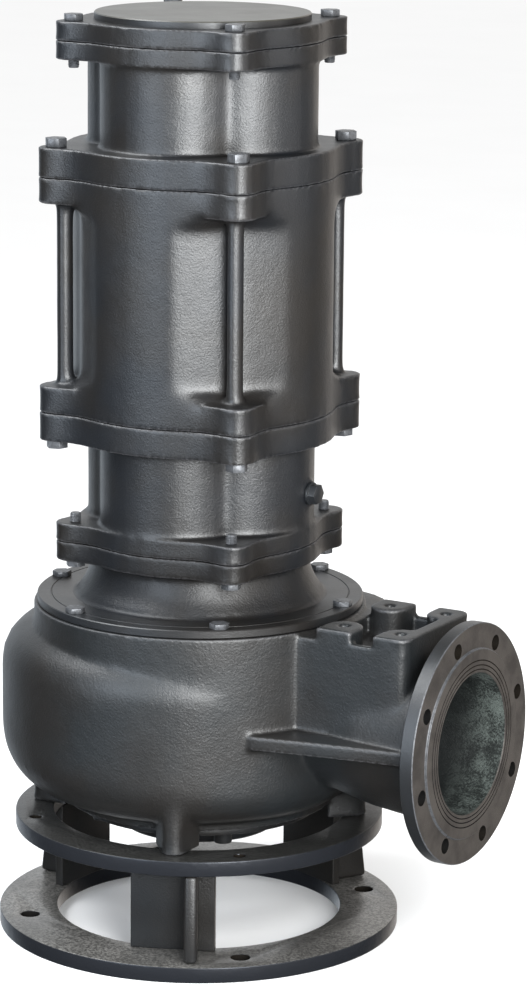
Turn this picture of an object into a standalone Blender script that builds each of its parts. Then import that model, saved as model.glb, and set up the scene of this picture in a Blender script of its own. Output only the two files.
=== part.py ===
# Submersible grinder pump standing on a welded ring stand, with a central side
# discharge. Metres, +Z up, the outlet faces +X. The origin is on the floor, in
# the middle of the pump's box; everything is drawn about the motor axis.

import bpy
import bmesh
from math import acos, atan2, ceil, cos, hypot, pi, radians, sin, sqrt

from mathutils import Matrix

GAP = 0.0003                    # joint between two pieces that touch
ARC_STEP = radians(9)           # angle of one facet on a small arc
RING_STEPS = 72                 # facets round a large ring
CORNER_STEPS = 5                # facets in a rounded corner of the casing
OVERLAP = 0.010                 # how far a fused or cutting body runs into its partner

# Levels of the bolted joints, from the floor
BASE_TOP = 0.0225
STAND_UNDER = 0.1465
STAND_TOP = 0.1685
CASING_TOP = 0.4785
COVER_TOP = 0.4905
OIL_LOW = (0.5468, 0.5752, 0.6019)      # under, joint and top of the lowest bolted pair
OIL_HIGH = (0.7214, 0.7614, 0.7994)
MOTOR_HIGH = (1.0562, 1.0924, 1.1345)
LID_PAIR = (1.2549, 1.2809, 1.3082)
LID_TOP = 1.3176

# Stand
BASE_RADIUS = 0.2895
BASE_BORE = 0.2060
BASE_HOLE = (0.250, 0.0135)             # radius of the hole circle, radius of a hole
STAND_RADIUS = 0.2656
STAND_BORE = 0.2105
STAND_HOLE = (0.241, 0.0085)
CORNERS = (45, 135, -135, -45)          # degrees from the outlet
LEGS = ((-68.4, -61.0), (68.4, 59.0), (177.0, 178.4))   # plate and rib of each leg, degrees
PLATE_WIDTH = 0.120
PLATE_FACE = 0.2155                     # outer face, from the axis
PLATE_THICK = 0.0130
RIB_THICK = 0.0190
RIB_REACH = (0.277, 0.262)              # outer edge at the foot and at the head
RIB_ROUND = 0.006

# Spiral casing
WALL = 0.016
RIM_RADIUS = 0.2380
SPIRAL_START = -48.0                    # degrees; the wall grows clockwise from here
SPIRAL_END = -296.0
SPIRAL_GROWTH = 0.000457                # for each degree
SHOULDER_Z = 0.3860                     # centre of the round shoulder
SHOULDER_ROUND = 0.060
CASING_UNDER = 0.2020
BELLY_ROUND = 0.050                     # where the spiral is narrowest
BELLY_GROWTH = 0.8                      # for each metre that the wall stands further out
BELLY_MOST = 0.085
LIP_RADIUS = 0.1970
LIP_UNDER = 0.1915
FOOT_ANGLES = (-67.5, 22.5, 112.5, 202.5)
FOOT_NOSE = (0.2270, 0.0170)            # centre and radius of the round front
FOOT_BACK = (0.1915, 0.0320)            # inner face: place and half width
FOOT_FLARE = ((0.205, 1.00), (0.218, 1.12), (0.230, 1.30), (0.252, 1.55))   # level and width
EYE_RADIUS = 0.1500                     # opening for the suction cover
MOUTH_RADIUS = 0.2050                   # opening for the casing cover

# Outlet
OUTLET_Z = 0.3300
OUTLET_FACE = 0.4430
FLANGE_RADIUS = 0.1700
FLANGE_THICK = 0.0200
FACE_RAISE = 0.0030
FLANGE_BACK = OUTLET_FACE - FACE_RAISE - FLANGE_THICK
NECK_END = FLANGE_BACK - GAP
FACE_RADIUS = 0.1336
BORE_RADIUS = 0.1000
HOLE_CIRCLE = 0.1470
HOLE_RADIUS = 0.0110
HOLE_COUNT = 8
HOLE_TURN = 16.7                        # degrees from level, as it was drilled
NECK = ((0.190, 0.090), (0.240, 0.093), (0.310, 0.108), (0.395, 0.1165))    # place along X, outer radius
NECK_COLLAR = 0.1205
PASSAGE = ((0.150, 0.0786), (0.240, 0.0786), (NECK_END - 0.010, BORE_RADIUS))   # water passage, likewise

# Box on the neck, with its four drilled pads
BOX_HALF = 0.0980
BOX_START = 0.1900                      # inside the casing
BOX_END = 0.3880
BOX_WALL = 0.0130
BOX_CORNER = 0.0180
STRIP_START = 0.3520                    # the raised strip on the outlet side
POCKET_START = 0.2460
POCKET_END = 0.3670
POCKET_CORNER = 0.0120
BOX_FLOOR = 0.4500
BOX_RIM = 0.4740
PAD_TOP = 0.4910
PAD_X = (0.2740, 0.3630)
PAD_Y = 0.0660
PAD_RADIUS = 0.0270
PAD_HOLE = 0.0070
PAD_HOLE_DEPTH = 0.0260
WEB_HALF_THICK = 0.0100
WEB_REACH = ((0.150, 0.150), (0.182, 0.163), (0.262, 0.146), (0.345, 0.131), (NECK_END, 0.119))

# Upper castings: side radius, bolt circle, ear radius
BIG_EARS = (0.1910, 0.2080, 0.0250)
LOW_EARS = (0.1720, 0.1840, 0.0260)
LID_EARS = (0.1730, 0.1830, 0.0250)
EAR_FILLET = 0.100
LOBE_OFFSET = 0.0590                    # centre of a lobe of the fluted housings
LOBE_RADIUS = 0.1110
BARREL_RADIUS = 0.1905
RECESS_DEPTH = 0.1770                   # shallow recess behind a column, from the axis
RECESS_ROUND = 0.5560                   # radius of its floor
RECESS_HALF = 0.0950
RECESS_SIDE = ((0.160, 0.018), (0.210, 0.000))  # sloping end: from the axis, and off the flange
COLUMN_PLACE = 0.1955
COLUMN_RADIUS = 0.0133
FLUTE_RADIUS = 0.0215                   # hollow round the column
FLUTE_END = 0.0040                      # how far it stops from the plates
COVER_RADIUS = 0.2331
COVER_EDGE = 0.0015
COVER_SPIGOT_LOW = 0.4550
COVER_GROOVE = 0.2130
COVER_GROOVE_DEPTH = 0.0012
COVER_BORE = 0.0280
NECK_TOP_RADIUS = 0.1550
NECK_LIP = (0.1740, 0.1750, 0.1720, 0.1660, 0.1600)     # radii up the flared foot of the neck
NECK_LIP_RISE = (0.0, 0.0060, 0.0110, 0.0180, 0.0320)   # their heights above the disc
LID_DISC = 0.1511

# Suction side and the parts inside
SUCTION_PLATE = 0.1760
SUCTION_PLATE_THICK = 0.0135
SUCTION_BOSS = 0.1130
SUCTION_CONE = (0.1190, 0.1350)         # radii where the boss flares into the plate
SUCTION_END = 0.1470
INLET_RADIUS = 0.0750
LUG_PLACE = 0.1440
LUG_RADIUS = 0.0130
LUG_END = 0.1580
SHAFT_RADIUS = 0.0240
SHAFT_END = 0.1700
CUTTER_LOW = 0.1370
CUTTER_BOSS = 0.0280
CUTTER_BORE = 0.0520                    # hole of the fixed cutter ring
CUTTER_RING = (0.1510, 0.1670)
CUTTER_TEETH = 12
TOOTH_DEPTH = 0.0050
BLADES = 3
BLADE_REACH = 0.0490
BLADE_LOW = 0.1430
VANES = 3
VANE_SPAN = (0.0360, 0.1460)            # from the hub to the tip
VANE_SWEEP = 1.0                        # radians from the hub to the tip
VANE_HALF = 0.11                        # half the vane's thickness, in radians
IMPELLER_RADIUS = 0.1500
IMPELLER_HUB = 0.0450
IMPELLER_LEVELS = (0.2500, 0.3450, 0.3600, 0.4300)      # underside, disc and top
PLUG_PLACE = (0.015, 0.650)             # along Y and up
PLUG_SEAT = 0.0010                      # how far its boss stands out
PLUG_RADII = (0.0190, 0.0165, 0.0150)   # boss, collar and hexagon
PLUG_STEPS = (0.0040, 0.0140)           # ends of the collar and the hexagon, from the boss
GLANDS = ((0.042, 0.0260), (-0.048, 0.0170))    # place across the back, radius
GLAND_BOSS = 0.0120                     # wider than the gland, and standing out as much
GLAND_STEPS = (0.0060, 0.0220, 0.0380, 0.0440)  # ends of the flange, nut, dome and its round
GLAND_TURN = radians(90)                # the cable inlets are on the +Y side

COLOURS = {                             # base colour, roughness, metallic
    "casing_paint": ((0.060, 0.064, 0.070), 0.42, 0.25),
    "housing_paint": ((0.055, 0.057, 0.063), 0.40, 0.25),
    "ring_paint": ((0.075, 0.080, 0.088), 0.45, 0.30),
    "machined_iron": ((0.160, 0.145, 0.130), 0.50, 0.60),
    "bright_steel": ((0.420, 0.410, 0.400), 0.35, 0.90),
}


def clear_scene():
    for thing in list(bpy.data.objects):
        bpy.data.objects.remove(thing, do_unlink=True)


def paint(name):
    found = bpy.data.materials.get(name)
    if found:
        return found
    colour, roughness, metallic = COLOURS[name]
    made = bpy.data.materials.new(name)
    made.use_nodes = True
    shader = made.node_tree.nodes["Principled BSDF"]
    shader.inputs["Base Color"].default_value = (*colour, 1)
    shader.inputs["Roughness"].default_value = roughness
    shader.inputs["Metallic"].default_value = metallic
    return made


def solid(name, bm):
    # A closed body from a bmesh, its faces pointing out
    bmesh.ops.remove_doubles(bm, verts=bm.verts, dist=1e-6)
    bmesh.ops.recalc_face_normals(bm, faces=bm.faces)
    mesh = bpy.data.meshes.new(name)
    bm.to_mesh(mesh)
    bm.free()
    body = bpy.data.objects.new(name, mesh)
    bpy.context.scene.collection.objects.link(body)
    return body


def polar(radius, angle):
    return radius * cos(angle), radius * sin(angle)


def arc(centre, radius, start, end, step=ARC_STEP):
    # Points from one angle to another, both ends included
    count = max(1, ceil(abs(end - start) / step - 1e-6))
    angles = [start + (end - start) * i / count for i in range(count + 1)]
    return [(centre[0] + radius * cos(a), centre[1] + radius * sin(a)) for a in angles]


def circle(centre, radius, steps, turn=0):
    return arc(centre, radius, turn, turn + 2 * pi, 2 * pi / steps)[:-1]


def prism(name, outline, low, high):
    bm = bmesh.new()
    floor = bm.faces.new([bm.verts.new((x, y, low)) for x, y in outline])
    raised = bmesh.ops.extrude_face_region(bm, geom=[floor])["geom"]
    lifted = [v for v in raised if isinstance(v, bmesh.types.BMVert)]
    bmesh.ops.translate(bm, verts=lifted, vec=(0, 0, high - low))
    return solid(name, bm)


def turned(name, profile, steps=RING_STEPS):
    # A closed outline of (radius, height), spun once about the motor axis
    bm = bmesh.new()
    points = [bm.verts.new((r, 0, z)) for r, z in profile]
    edges = [bm.edges.new((a, b)) for a, b in zip(points, points[1:] + points[:1])]
    bmesh.ops.spin(bm, geom=points + edges, cent=(0, 0, 0), axis=(0, 0, 1), angle=2 * pi,
                   steps=steps, use_merge=True)
    return solid(name, bm)


def rod(name, place, radius, low, high, steps=20, turn=0):
    return prism(name, circle(place, radius, steps, turn), low, high)


def loft(name, outlines):
    # A body through closed outlines of equal count, with flat ends
    bm = bmesh.new()
    rings = [[bm.verts.new(point) for point in outline] for outline in outlines]
    for near, far in zip(rings, rings[1:]):
        for i in range(len(near)):
            bm.faces.new((near[i - 1], near[i], far[i], far[i - 1]))
    bm.faces.new(rings[0])
    bm.faces.new(rings[-1])
    return solid(name, bm)


def level_rod(name, stations, y, z, steps):
    # A round body lying along X, through (place, radius) stations
    rings = [[(x, y + u, z + v) for u, v in circle((0, 0), radius, steps)] for x, radius in stations]
    return loft(name, rings)


def swung(body, angle):
    # Turned about the motor axis
    body.data.transform(Matrix.Rotation(angle, 4, "Z"))
    return body


def combine(body, tools, operation):
    for tool in tools:
        step = body.modifiers.new(operation.lower(), "BOOLEAN")
        step.operation = operation
        step.object = tool
        bpy.context.view_layer.update()
        seen = bpy.context.evaluated_depsgraph_get()
        result = bpy.data.meshes.new_from_object(body.evaluated_get(seen))
        body.modifiers.clear()
        old = body.data
        body.data = result
        result.name = body.name
        bpy.data.meshes.remove(old)
        bpy.data.objects.remove(tool, do_unlink=True)
    return body


def cut(body, tools):
    return combine(body, tools, "DIFFERENCE")


def fuse(body, tools):
    return combine(body, tools, "UNION")


def finish(body, material, angle=32):
    body.data.materials.clear()
    body.data.materials.append(paint(material))
    body.data.shade_smooth()
    body.data.set_sharp_from_angle(angle=radians(angle))
    return body


def holes(place, radius, angles, low, high, steps=16):
    # Each turned half a facet, so that no corner falls on a seam of the ring
    return [rod("hole", polar(place, radians(a)), radius, low, high, steps, pi / steps) for a in angles]


# Stand

def make_ring(name, radius, bore, low, high, hole):
    ring = turned(name, [(bore, low), (radius, low), (radius, high), (bore, high)])
    cut(ring, holes(hole[0], hole[1], CORNERS, low - OVERLAP, high + OVERLAP))
    return finish(ring, "ring_paint")


def turn_outline(outline, angle):
    c, s = cos(angle), sin(angle)
    return [(x * c - y * s, x * s + y * c) for x, y in outline]


def make_leg(number, plate_angle, rib_angle):
    low = BASE_TOP + GAP
    high = STAND_UNDER - GAP
    half = PLATE_WIDTH / 2
    inner = PLATE_FACE - PLATE_THICK
    outline = [(inner, -half), (PLATE_FACE, -half), (PLATE_FACE, half), (inner, half)]
    plate = prism(f"leg_plate_{number}", turn_outline(outline, radians(plate_angle)), low, high)
    finish(plate, "ring_paint")
    # The rib stands on the plate's flat face, a little to one side of its middle
    lean = radians(rib_angle - plate_angle)
    root = (PLATE_FACE + GAP) / cos(lean) + RIB_THICK / 2 * abs(sin(lean)) / cos(lean)
    corners = [(root, low), (RIB_REACH[0], low), (RIB_REACH[1], high), (root, high)]
    sides = [[(r, y, z) for r, z in corners] for y in (-RIB_THICK / 2, RIB_THICK / 2)]
    rib = swung(loft(f"leg_rib_{number}", sides), radians(rib_angle))
    step = rib.modifiers.new("round_edge", "BEVEL")
    step.width = RIB_ROUND
    step.segments = 3
    step.limit_method = "ANGLE"
    step.angle_limit = radians(80)
    return finish(rib, "ring_paint")


# Spiral casing

def wall_radius(angle):
    # Wall of the spiral at an angle in degrees, from 0 at the outlet down to -360
    if angle >= SPIRAL_START:
        return RIM_RADIUS
    if angle >= SPIRAL_END:
        return RIM_RADIUS + SPIRAL_GROWTH * (SPIRAL_START - angle)
    # Past its widest the wall runs straight to the far side of the box
    widest = RIM_RADIUS + SPIRAL_GROWTH * (SPIRAL_START - SPIRAL_END)
    start_x, start_y = polar(widest, radians(SPIRAL_END))
    end_x, end_y = 0.300, BOX_HALF
    direction = radians(angle)
    across = (start_x - end_x) * sin(direction) - (start_y - end_y) * cos(direction)
    share = (start_x * sin(direction) - start_y * cos(direction)) / across
    if share > 1:
        return RIM_RADIUS
    x = start_x + (end_x - start_x) * share
    y = start_y + (end_y - start_y) * share
    return hypot(x, y)


def casing_section(wall, inset):
    # Half the casing at one angle, from the underside up: belly, wall and shoulder
    shoulder = SHOULDER_ROUND - inset
    outer_belly = min(BELLY_MOST, BELLY_ROUND + BELLY_GROWTH * (wall - RIM_RADIUS))
    belly = outer_belly - inset
    low_centre = (wall - outer_belly, CASING_UNDER + outer_belly)
    high_centre = (wall - SHOULDER_ROUND, SHOULDER_Z)
    start = -pi / 2
    rise = pi / 2
    if inset == 0:
        # The belly starts at the lip, and the shoulder ends at the rim
        start = -acos(min(1, max(0, LIP_RADIUS - low_centre[0]) / belly))
        rise = acos(min(1, max(0, RIM_RADIUS - high_centre[0]) / shoulder))
    low = arc(low_centre, belly, start, 0, -start / CORNER_STEPS)
    if rise < ARC_STEP / 8:
        return low + [(wall - inset, SHOULDER_Z)] * (CORNER_STEPS + 1)
    return low + arc(high_centre, shoulder, 0, rise, rise / CORNER_STEPS)


def spiral_body(name, sections):
    # Sections about the motor axis, closed by flat faces at their two ends
    steps = len(sections)
    bm = bmesh.new()
    rings = []
    for i, section in enumerate(sections):
        angle = -2 * pi * i / steps
        rings.append([bm.verts.new((*polar(r, angle), z)) for r, z in section])
    for i in range(steps):
        for j in range(len(rings[0]) - 1):
            bm.faces.new((rings[i - 1][j], rings[i - 1][j + 1], rings[i][j + 1], rings[i][j]))
    bm.faces.new([ring[0] for ring in rings])
    bm.faces.new([ring[-1] for ring in rings])
    bmesh.ops.remove_doubles(bm, verts=bm.verts, dist=1e-5)
    bmesh.ops.dissolve_degenerate(bm, edges=bm.edges, dist=1e-6)
    return solid(name, bm)


def casing_body(name):
    core = EYE_RADIUS - 2 * OVERLAP
    sections = []
    for i in range(RING_STEPS):
        side = casing_section(wall_radius(-360 * i / RING_STEPS), 0)
        lip = [(core, LIP_UNDER), (LIP_RADIUS, LIP_UNDER), (LIP_RADIUS, side[0][1])]
        rim = [(RIM_RADIUS, side[-1][1]), (RIM_RADIUS, CASING_TOP), (core, CASING_TOP)]
        sections.append(lip + side + rim)
    return spiral_body(name, sections)


def casing_room():
    sections = [casing_section(wall_radius(-360 * i / RING_STEPS), WALL) for i in range(RING_STEPS)]
    return spiral_body("room", sections)


def rounded_box(name, x_low, x_high, half, low, high, corner):
    outline = []
    for cx, cy, turn in ((x_high - corner, half - corner, 0), (x_low + corner, half - corner, 1),
                         (x_low + corner, corner - half, 2), (x_high - corner, corner - half, 3)):
        outline += arc((cx, cy), corner, turn * pi / 2, (turn + 1) * pi / 2, radians(22.5))
    return prism(name, outline, low, high)


def make_foot(angle):
    # A foot with a round front, widening where it meets the belly
    centre, nose = FOOT_NOSE
    inner, half = FOOT_BACK
    plan = [(inner, -half)] + arc((centre, 0), nose, radians(-75), radians(75), radians(25)) + [(inner, half)]
    levels = ((STAND_TOP + GAP, 1.0),) + FOOT_FLARE
    return swung(loft("foot", [[(u, v * wide, z) for u, v in plan] for z, wide in levels]), radians(angle))


def pocket(half, corner):
    return rounded_box("pocket", POCKET_START, POCKET_END, half, BOX_FLOOR, PAD_TOP + OVERLAP, corner)


def pad_outline(x, side):
    # Round boss that runs out to the box's side wall, and on the outlet side round its corner
    start = 0 if side < 0 else -pi
    boss = arc((x, side * PAD_Y), PAD_RADIUS, start, start + pi, radians(18))
    edge = side * (BOX_HALF - GAP)
    ends = [(boss[-1][0], edge), (boss[0][0], edge)]
    corner = BOX_END - BOX_CORNER
    if x + PAD_RADIUS > corner:
        boss = [(min(px, BOX_END - GAP), py) for px, py in boss]
        start = -pi / 2 if side < 0 else 0
        turn = arc((corner, side * (BOX_HALF - BOX_CORNER)), BOX_CORNER - GAP, start, start + pi / 2,
                   radians(22.5))
        ends = ends[:1] + turn if side < 0 else turn + ends[1:]
    return boss + ends


def make_casing():
    casing = casing_body("volute_casing")
    neck_steps = 40
    neck = level_rod("neck", NECK + ((NECK_END, NECK_COLLAR),), 0, OUTLET_Z, neck_steps)
    box = rounded_box("box", BOX_START, BOX_END, BOX_HALF, OUTLET_Z, BOX_RIM, BOX_CORNER)
    # The strip's corners are a little tighter than the box's, so that no faces lie on each other
    strip_corner = BOX_CORNER - 2 * GAP
    strip = rounded_box("strip", STRIP_START, BOX_END, BOX_HALF, BOX_RIM - OVERLAP, PAD_TOP, strip_corner)
    feet = [make_foot(angle) for angle in FOOT_ANGLES]
    near = [(x, -y) for x, y in WEB_REACH]
    web_outline = near + [(x, -y) for x, y in reversed(near)]
    web = prism("web", web_outline, OUTLET_Z - WEB_HALF_THICK, OUTLET_Z + WEB_HALF_THICK)
    fuse(casing, [neck, box, web] + feet)
    cut(casing, [pocket(BOX_HALF - BOX_WALL, POCKET_CORNER)])
    pads = [prism("pad", pad_outline(x, side), BOX_FLOOR - OVERLAP / 2, PAD_TOP)
            for x in PAD_X for side in (-1, 1)]
    fuse(casing, [strip] + pads)
    cut(casing, [pocket(PAD_Y - PAD_RADIUS, POCKET_CORNER * 2 / 3)])
    # The water passage, from the impeller round to the outlet
    passage = level_rod("passage", PASSAGE + ((OUTLET_FACE, BORE_RADIUS),), 0, OUTLET_Z, neck_steps)
    mouth = rod("mouth", (0, 0), MOUTH_RADIUS, SHOULDER_Z, CASING_TOP + OVERLAP, RING_STEPS)
    eye = rod("eye", (0, 0), EYE_RADIUS, LIP_UNDER - OVERLAP, CASING_UNDER + 2 * WALL, RING_STEPS)
    cut(casing, [casing_room(), passage, mouth, eye])
    cut(casing, [rod("drilling", (x, y), PAD_HOLE, PAD_TOP - PAD_HOLE_DEPTH, PAD_TOP + OVERLAP, 12)
                 for x in PAD_X for y in (-PAD_Y, PAD_Y)])
    return finish(casing, "casing_paint", 40)


def make_flange():
    back = FLANGE_BACK
    front = OUTLET_FACE - FACE_RAISE
    steps = 64
    plate = level_rod("discharge_flange", ((back, FLANGE_RADIUS), (front, FLANGE_RADIUS)), 0, OUTLET_Z, steps)
    raised = ((front - OVERLAP / 2, FACE_RADIUS), (OUTLET_FACE, FACE_RADIUS))
    face = level_rod("face", raised, 0, OUTLET_Z, steps)
    fuse(plate, [face])
    start, end = back - OVERLAP, OUTLET_FACE + OVERLAP
    tools = [level_rod("bore", ((start, BORE_RADIUS), (end, BORE_RADIUS)), 0, OUTLET_Z, 40)]
    for i in range(HOLE_COUNT):
        y, z = polar(HOLE_CIRCLE, radians(HOLE_TURN) + 2 * pi * i / HOLE_COUNT)
        tools.append(level_rod("hole", ((start, HOLE_RADIUS), (end, HOLE_RADIUS)), y, OUTLET_Z + z, 16))
    cut(plate, tools)
    return finish(plate, "machined_iron")


# Castings above the casing

def eared_outline(side, bolt, ear, fillet=EAR_FILLET):
    # Four bolt ears on a round plate, each joined to it by a hollow arc on either hand
    reach = side + fillet
    spread = acos((reach ** 2 + bolt ** 2 - (ear + fillet) ** 2) / (2 * reach * bolt))
    outline = []
    for corner in (radians(a) for a in (45, 135, 225, 315)):
        centre = polar(bolt, corner)
        before = polar(reach, corner - spread)
        after = polar(reach, corner + spread)
        half = corner - atan2(before[1] - centre[1], before[0] - centre[0])
        half %= 2 * pi
        bend = spread - half
        outline += arc(before, fillet, corner - spread - pi, corner - half - pi, radians(11))
        outline += arc(centre, ear, corner - half, corner + half, radians(26))[1:]
        outline += arc(after, fillet, corner + half + pi, corner + half + pi + bend, radians(11))[1:]
        outline += arc((0, 0), side, corner + spread, corner + pi / 2 - spread)[1:-1]
    return outline


def plate_of(ears, low, high):
    return prism("plate", eared_outline(*ears), low, high)


def fluted_outline():
    # Four round lobes facing the sides, meeting in a flute at each corner
    meet = LOBE_OFFSET * cos(pi / 4) + sqrt(LOBE_RADIUS ** 2 - (LOBE_OFFSET * sin(pi / 4)) ** 2)
    corner = polar(meet, pi / 4)
    half = atan2(corner[1], corner[0] - LOBE_OFFSET)
    outline = []
    for i in range(4):
        facing = i * pi / 2
        centre = polar(LOBE_OFFSET, facing)
        outline += arc(centre, LOBE_RADIUS, facing - half, facing + half, radians(10))[:-1]
    return outline


def make_cover():
    spigot = MOUTH_RADIUS - GAP
    low = CASING_TOP + GAP
    groove = COVER_GROOVE_DEPTH
    middle = COVER_BORE + OVERLAP / 2
    head = OIL_LOW[0] + OVERLAP
    profile = [(middle, COVER_SPIGOT_LOW), (spigot, COVER_SPIGOT_LOW), (spigot, low), (COVER_RADIUS, low),
               (COVER_RADIUS, COVER_TOP - COVER_EDGE), (COVER_RADIUS - COVER_EDGE, COVER_TOP),
               (COVER_GROOVE + groove, COVER_TOP), (COVER_GROOVE, COVER_TOP - groove),
               (COVER_GROOVE - groove, COVER_TOP)]
    profile += [(radius, COVER_TOP + rise) for radius, rise in zip(NECK_LIP, NECK_LIP_RISE)]
    profile += [(NECK_TOP_RADIUS, OIL_LOW[0] - OVERLAP / 2), (NECK_TOP_RADIUS, head), (middle, head)]
    cover = turned("casing_cover", profile)
    fuse(cover, [plate_of(LOW_EARS, OIL_LOW[0], OIL_LOW[1] - GAP)])
    cut(cover, [rod("shaft_hole", (0, 0), COVER_BORE, COVER_SPIGOT_LOW - OVERLAP, OIL_LOW[1] + OVERLAP, 24)])
    return finish(cover, "casing_paint")


def make_oil_housing():
    low = OIL_LOW[1]
    high = OIL_HIGH[1] - GAP
    body = prism("seal_housing", fluted_outline(), low, high)
    fuse(body, [plate_of(LOW_EARS, low, OIL_LOW[2]), plate_of(BIG_EARS, OIL_HIGH[0], high)])
    y, z = PLUG_PLACE
    face = LOBE_OFFSET + LOBE_RADIUS + PLUG_SEAT
    boss = PLUG_RADII[0]
    fuse(body, [level_rod("seat", ((face - 3 * OVERLAP, boss), (face, boss)), y, z, 20)])
    return finish(body, "housing_paint")


def make_plug():
    # Hexagon plug screwed into the housing's boss
    y, z = PLUG_PLACE
    face = LOBE_OFFSET + LOBE_RADIUS + PLUG_SEAT + GAP
    _, collar, hexagon = PLUG_RADII
    seat, end = PLUG_STEPS
    plug = level_rod("oil_plug", ((face, collar), (face + seat, collar)), y, z, 24)
    head = level_rod("head", ((face + seat / 2, hexagon), (face + end, hexagon)), y, z, 6)
    return finish(fuse(plug, [head]), "housing_paint")


def make_motor():
    low = OIL_HIGH[1]
    high = MOTOR_HIGH[1] - GAP
    body = rod("motor_body", (0, 0), BARREL_RADIUS, low + GAP, high - GAP, RING_STEPS)
    fuse(body, [plate_of(BIG_EARS, low, OIL_HIGH[2]), plate_of(BIG_EARS, MOTOR_HIGH[0], high)])
    for angle in CORNERS:
        place = polar(COLUMN_PLACE, radians(angle))
        flute = rod("flute", place, FLUTE_RADIUS, OIL_HIGH[2] + FLUTE_END, MOTOR_HIGH[0] - FLUTE_END, 20)
        cut(body, [motor_recess(radians(angle)), flute])
        fuse(body, [rod("column", place, COLUMN_RADIUS, OIL_HIGH[2] - OVERLAP, MOTOR_HIGH[0] + OVERLAP, 16)])
    return finish(body, "housing_paint")


def motor_recess(angle):
    # What is taken off the barrel behind a column: a nearly flat floor and two sloping ends
    (inner, slope), (outer, _) = RECESS_SIDE
    low, high = OIL_HIGH[2], MOTOR_HIGH[0]
    side = [(inner, low + slope), (outer, low), (outer, high), (inner, high - slope)]
    block = loft("recess", [[(r, y, z) for r, z in side] for y in (-RECESS_HALF, RECESS_HALF)])
    floor = rod("floor", (RECESS_DEPTH - RECESS_ROUND, 0), RECESS_ROUND, OIL_HIGH[0], MOTOR_HIGH[1], 120)
    return swung(cut(block, [floor]), angle)


def make_terminal_housing():
    low = MOTOR_HIGH[1]
    high = LID_PAIR[1] - GAP
    body = prism("terminal_housing", fluted_outline(), low, high)
    fuse(body, [plate_of(BIG_EARS, low, MOTOR_HIGH[2]), plate_of(LID_EARS, LID_PAIR[0], high)])
    z = (MOTOR_HIGH[2] + LID_PAIR[0]) / 2
    for y, radius in GLANDS:
        face = gland_face(y)
        wide = radius + GLAND_BOSS
        boss = level_rod("boss", ((face - 4 * OVERLAP, wide), (face, wide)), y, z, 24)
        fuse(body, [swung(boss, GLAND_TURN)])
    return finish(body, "housing_paint")


def gland_face(y):
    return LOBE_OFFSET + sqrt(LOBE_RADIUS ** 2 - y ** 2) + GLAND_BOSS


def make_gland(name, y, radius):
    # Cable inlet: flange, hexagon body and dome nut, bored for the cable
    z = (MOTOR_HIGH[2] + LID_PAIR[0]) / 2
    face = gland_face(y) + GAP
    flange, nut_end, dome_end, tip = (face + step for step in GLAND_STEPS)
    wide, hexagon, cable = radius + 0.010, radius + 0.004, radius / 2
    gland = level_rod(name, ((face, wide), (flange, wide)), y, z, 24)
    nut = level_rod("nut", ((flange - GAP, hexagon), (nut_end, hexagon)), y, z, 6)
    dome_stations = ((nut_end - GAP, radius), (dome_end, radius - 0.001), (tip, radius - 0.006))
    dome = level_rod("dome", dome_stations, y, z, 24)
    fuse(gland, [nut, dome])
    cut(gland, [level_rod("way", ((nut_end - OVERLAP, cable), (tip + OVERLAP, cable)), y, z, 16)])
    return finish(swung(gland, GLAND_TURN), "machined_iron")


def make_lid():
    low = LID_PAIR[1]
    lid = prism("top_cover", eared_outline(*LID_EARS), low, LID_PAIR[2])
    fuse(lid, [rod("disc", (0, 0), LID_DISC, LID_PAIR[2] - OVERLAP, LID_TOP, RING_STEPS)])
    return finish(lid, "housing_paint")


# Suction side and running parts

def make_suction_cover():
    top = LIP_UNDER - GAP
    under = top - SUCTION_PLATE_THICK
    edge = 0.004
    profile = [(INLET_RADIUS, SUCTION_END), (SUCTION_BOSS - edge, SUCTION_END),
               (SUCTION_BOSS, SUCTION_END + edge), (SUCTION_CONE[0], under - 2 * edge),
               (SUCTION_CONE[1], under), (SUCTION_PLATE, under), (SUCTION_PLATE, top), (INLET_RADIUS, top)]
    cover = turned("suction_cover", profile)
    fuse(cover, holes(LUG_PLACE, LUG_RADIUS, CORNERS, LUG_END, top - edge))
    return finish(cover, "casing_paint")


def make_wear_plate():
    # Flat ring in the casing's eye, level with the floor inside
    low, high = LIP_UNDER, CASING_UNDER + WALL
    outer = EYE_RADIUS - GAP
    profile = [(INLET_RADIUS, low), (outer, low), (outer, high), (INLET_RADIUS, high)]
    return finish(turned("wear_plate", profile), "machined_iron")


def make_cutter_ring():
    # Fixed ring in the inlet, its bore notched into cutting teeth
    low, high = CUTTER_RING
    profile = [(CUTTER_BORE, low), (INLET_RADIUS - GAP, low), (INLET_RADIUS - GAP, high), (CUTTER_BORE, high)]
    ring = turned("cutter_ring", profile, 48)
    notches = []
    inner, outer = CUTTER_BORE - TOOTH_DEPTH, CUTTER_BORE + TOOTH_DEPTH
    outline = [(inner, -TOOTH_DEPTH), (outer, 0.001), (outer, TOOTH_DEPTH - 0.001), (inner, TOOTH_DEPTH)]
    for i in range(CUTTER_TEETH):
        turn = 2 * pi * (i + 0.3) / CUTTER_TEETH
        notches.append(prism("notch", turn_outline(outline, turn), low - OVERLAP, high + OVERLAP))
    return finish(cut(ring, notches), "machined_iron")


def make_cutter_head():
    # Three blades on a boss at the shaft's end, turning inside the fixed ring
    boss = rod("cutter_head", (0, 0), CUTTER_BOSS, CUTTER_LOW, SHAFT_END - GAP, 24)
    outline = [(0.010, -0.010), (BLADE_REACH, -0.004), (BLADE_REACH, 0.008), (0.010, 0.012)]
    blades = [prism("blade", turn_outline(outline, i * 2 * pi / BLADES), BLADE_LOW, CUTTER_RING[1])
              for i in range(BLADES)]
    return finish(fuse(boss, blades), "bright_steel")


def make_shaft():
    top = OIL_LOW[1] - GAP
    shaft = rod("shaft", (0, 0), SHAFT_RADIUS, SHAFT_END, top, 24)
    return finish(shaft, "bright_steel")


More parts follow.
